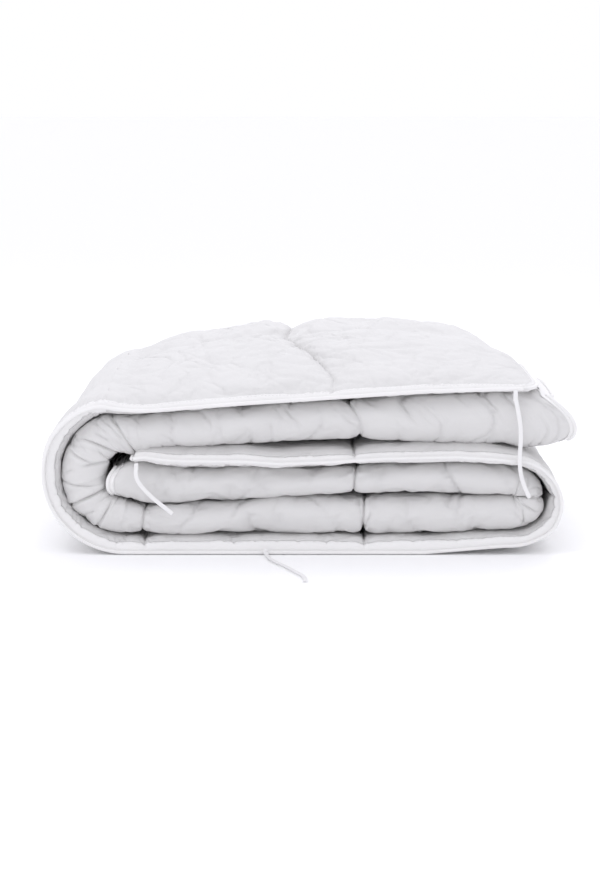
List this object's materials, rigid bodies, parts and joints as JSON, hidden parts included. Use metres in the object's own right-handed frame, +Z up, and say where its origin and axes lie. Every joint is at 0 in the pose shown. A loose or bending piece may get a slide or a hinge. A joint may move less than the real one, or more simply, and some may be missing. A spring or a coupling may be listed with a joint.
{
  "type": "folded duvet",
  "caption": "White box-quilted duvet with a piped edge and flat tape ties, folded in three and then rolled over into a neat storage stack",
  "frame": {"origin": "centre of the folded stack, on the surface that it rests on", "axes": "+X along the folded length towards the free end, +Y from the piped front edge to the back, +Z up"},
  "size_m": [0.6794, 0.6095, 0.2652],
  "materials": {
    "cotton_cover": "downproof cotton percale, woven, matt with a slight sheen",
    "fibre_filling": "hollow polyester fibre wadding",
    "edge_piping": "cotton bias tape sewn over a round cord",
    "tie_tape": "flat woven cotton tape"
  },
  "bodies": {
    "folded_base": {"bottom_run_lower_cloth": "cotton_cover", "bottom_run_filling": "fibre_filling", "bottom_run_upper_cloth": "cotton_cover", "left_fold_lower_cloth": "cotton_cover", "left_fold_filling": "fibre_filling", "left_fold_upper_cloth": "cotton_cover", "right_fold_lower_cloth": "cotton_cover", "right_fold_filling": "fibre_filling", "right_fold_upper_cloth": "cotton_cover", "middle_run_lower_cloth": "cotton_cover", "middle_run_filling": "fibre_filling", "middle_run_upper_cloth": "cotton_cover", "front_edge_piping": "edge_piping", "back_edge_piping": "edge_piping", "tucked_end_piping": "edge_piping", "left_tie": "tie_tape", "left_tie_tack": "tie_tape", "bottom_tie": "tie_tape", "bottom_tie_tack": "tie_tape"},
    "top_run": {"top_run_lower_cloth": "cotton_cover", "top_run_filling": "fibre_filling", "top_run_upper_cloth": "cotton_cover", "front_edge_piping_top": "edge_piping", "back_edge_piping_top": "edge_piping", "free_end_piping": "edge_piping", "right_tie": "tie_tape", "right_tie_tack": "tie_tape"}
  },
  "joints": [
    {"name": "top_run_lift", "type": "hinge", "parent": "folded_base", "child": "top_run", "pos_m": [-0.2377, 0, 0.2042], "axis": [0, -1, 0], "range_deg": [0, 40]}
  ]
}
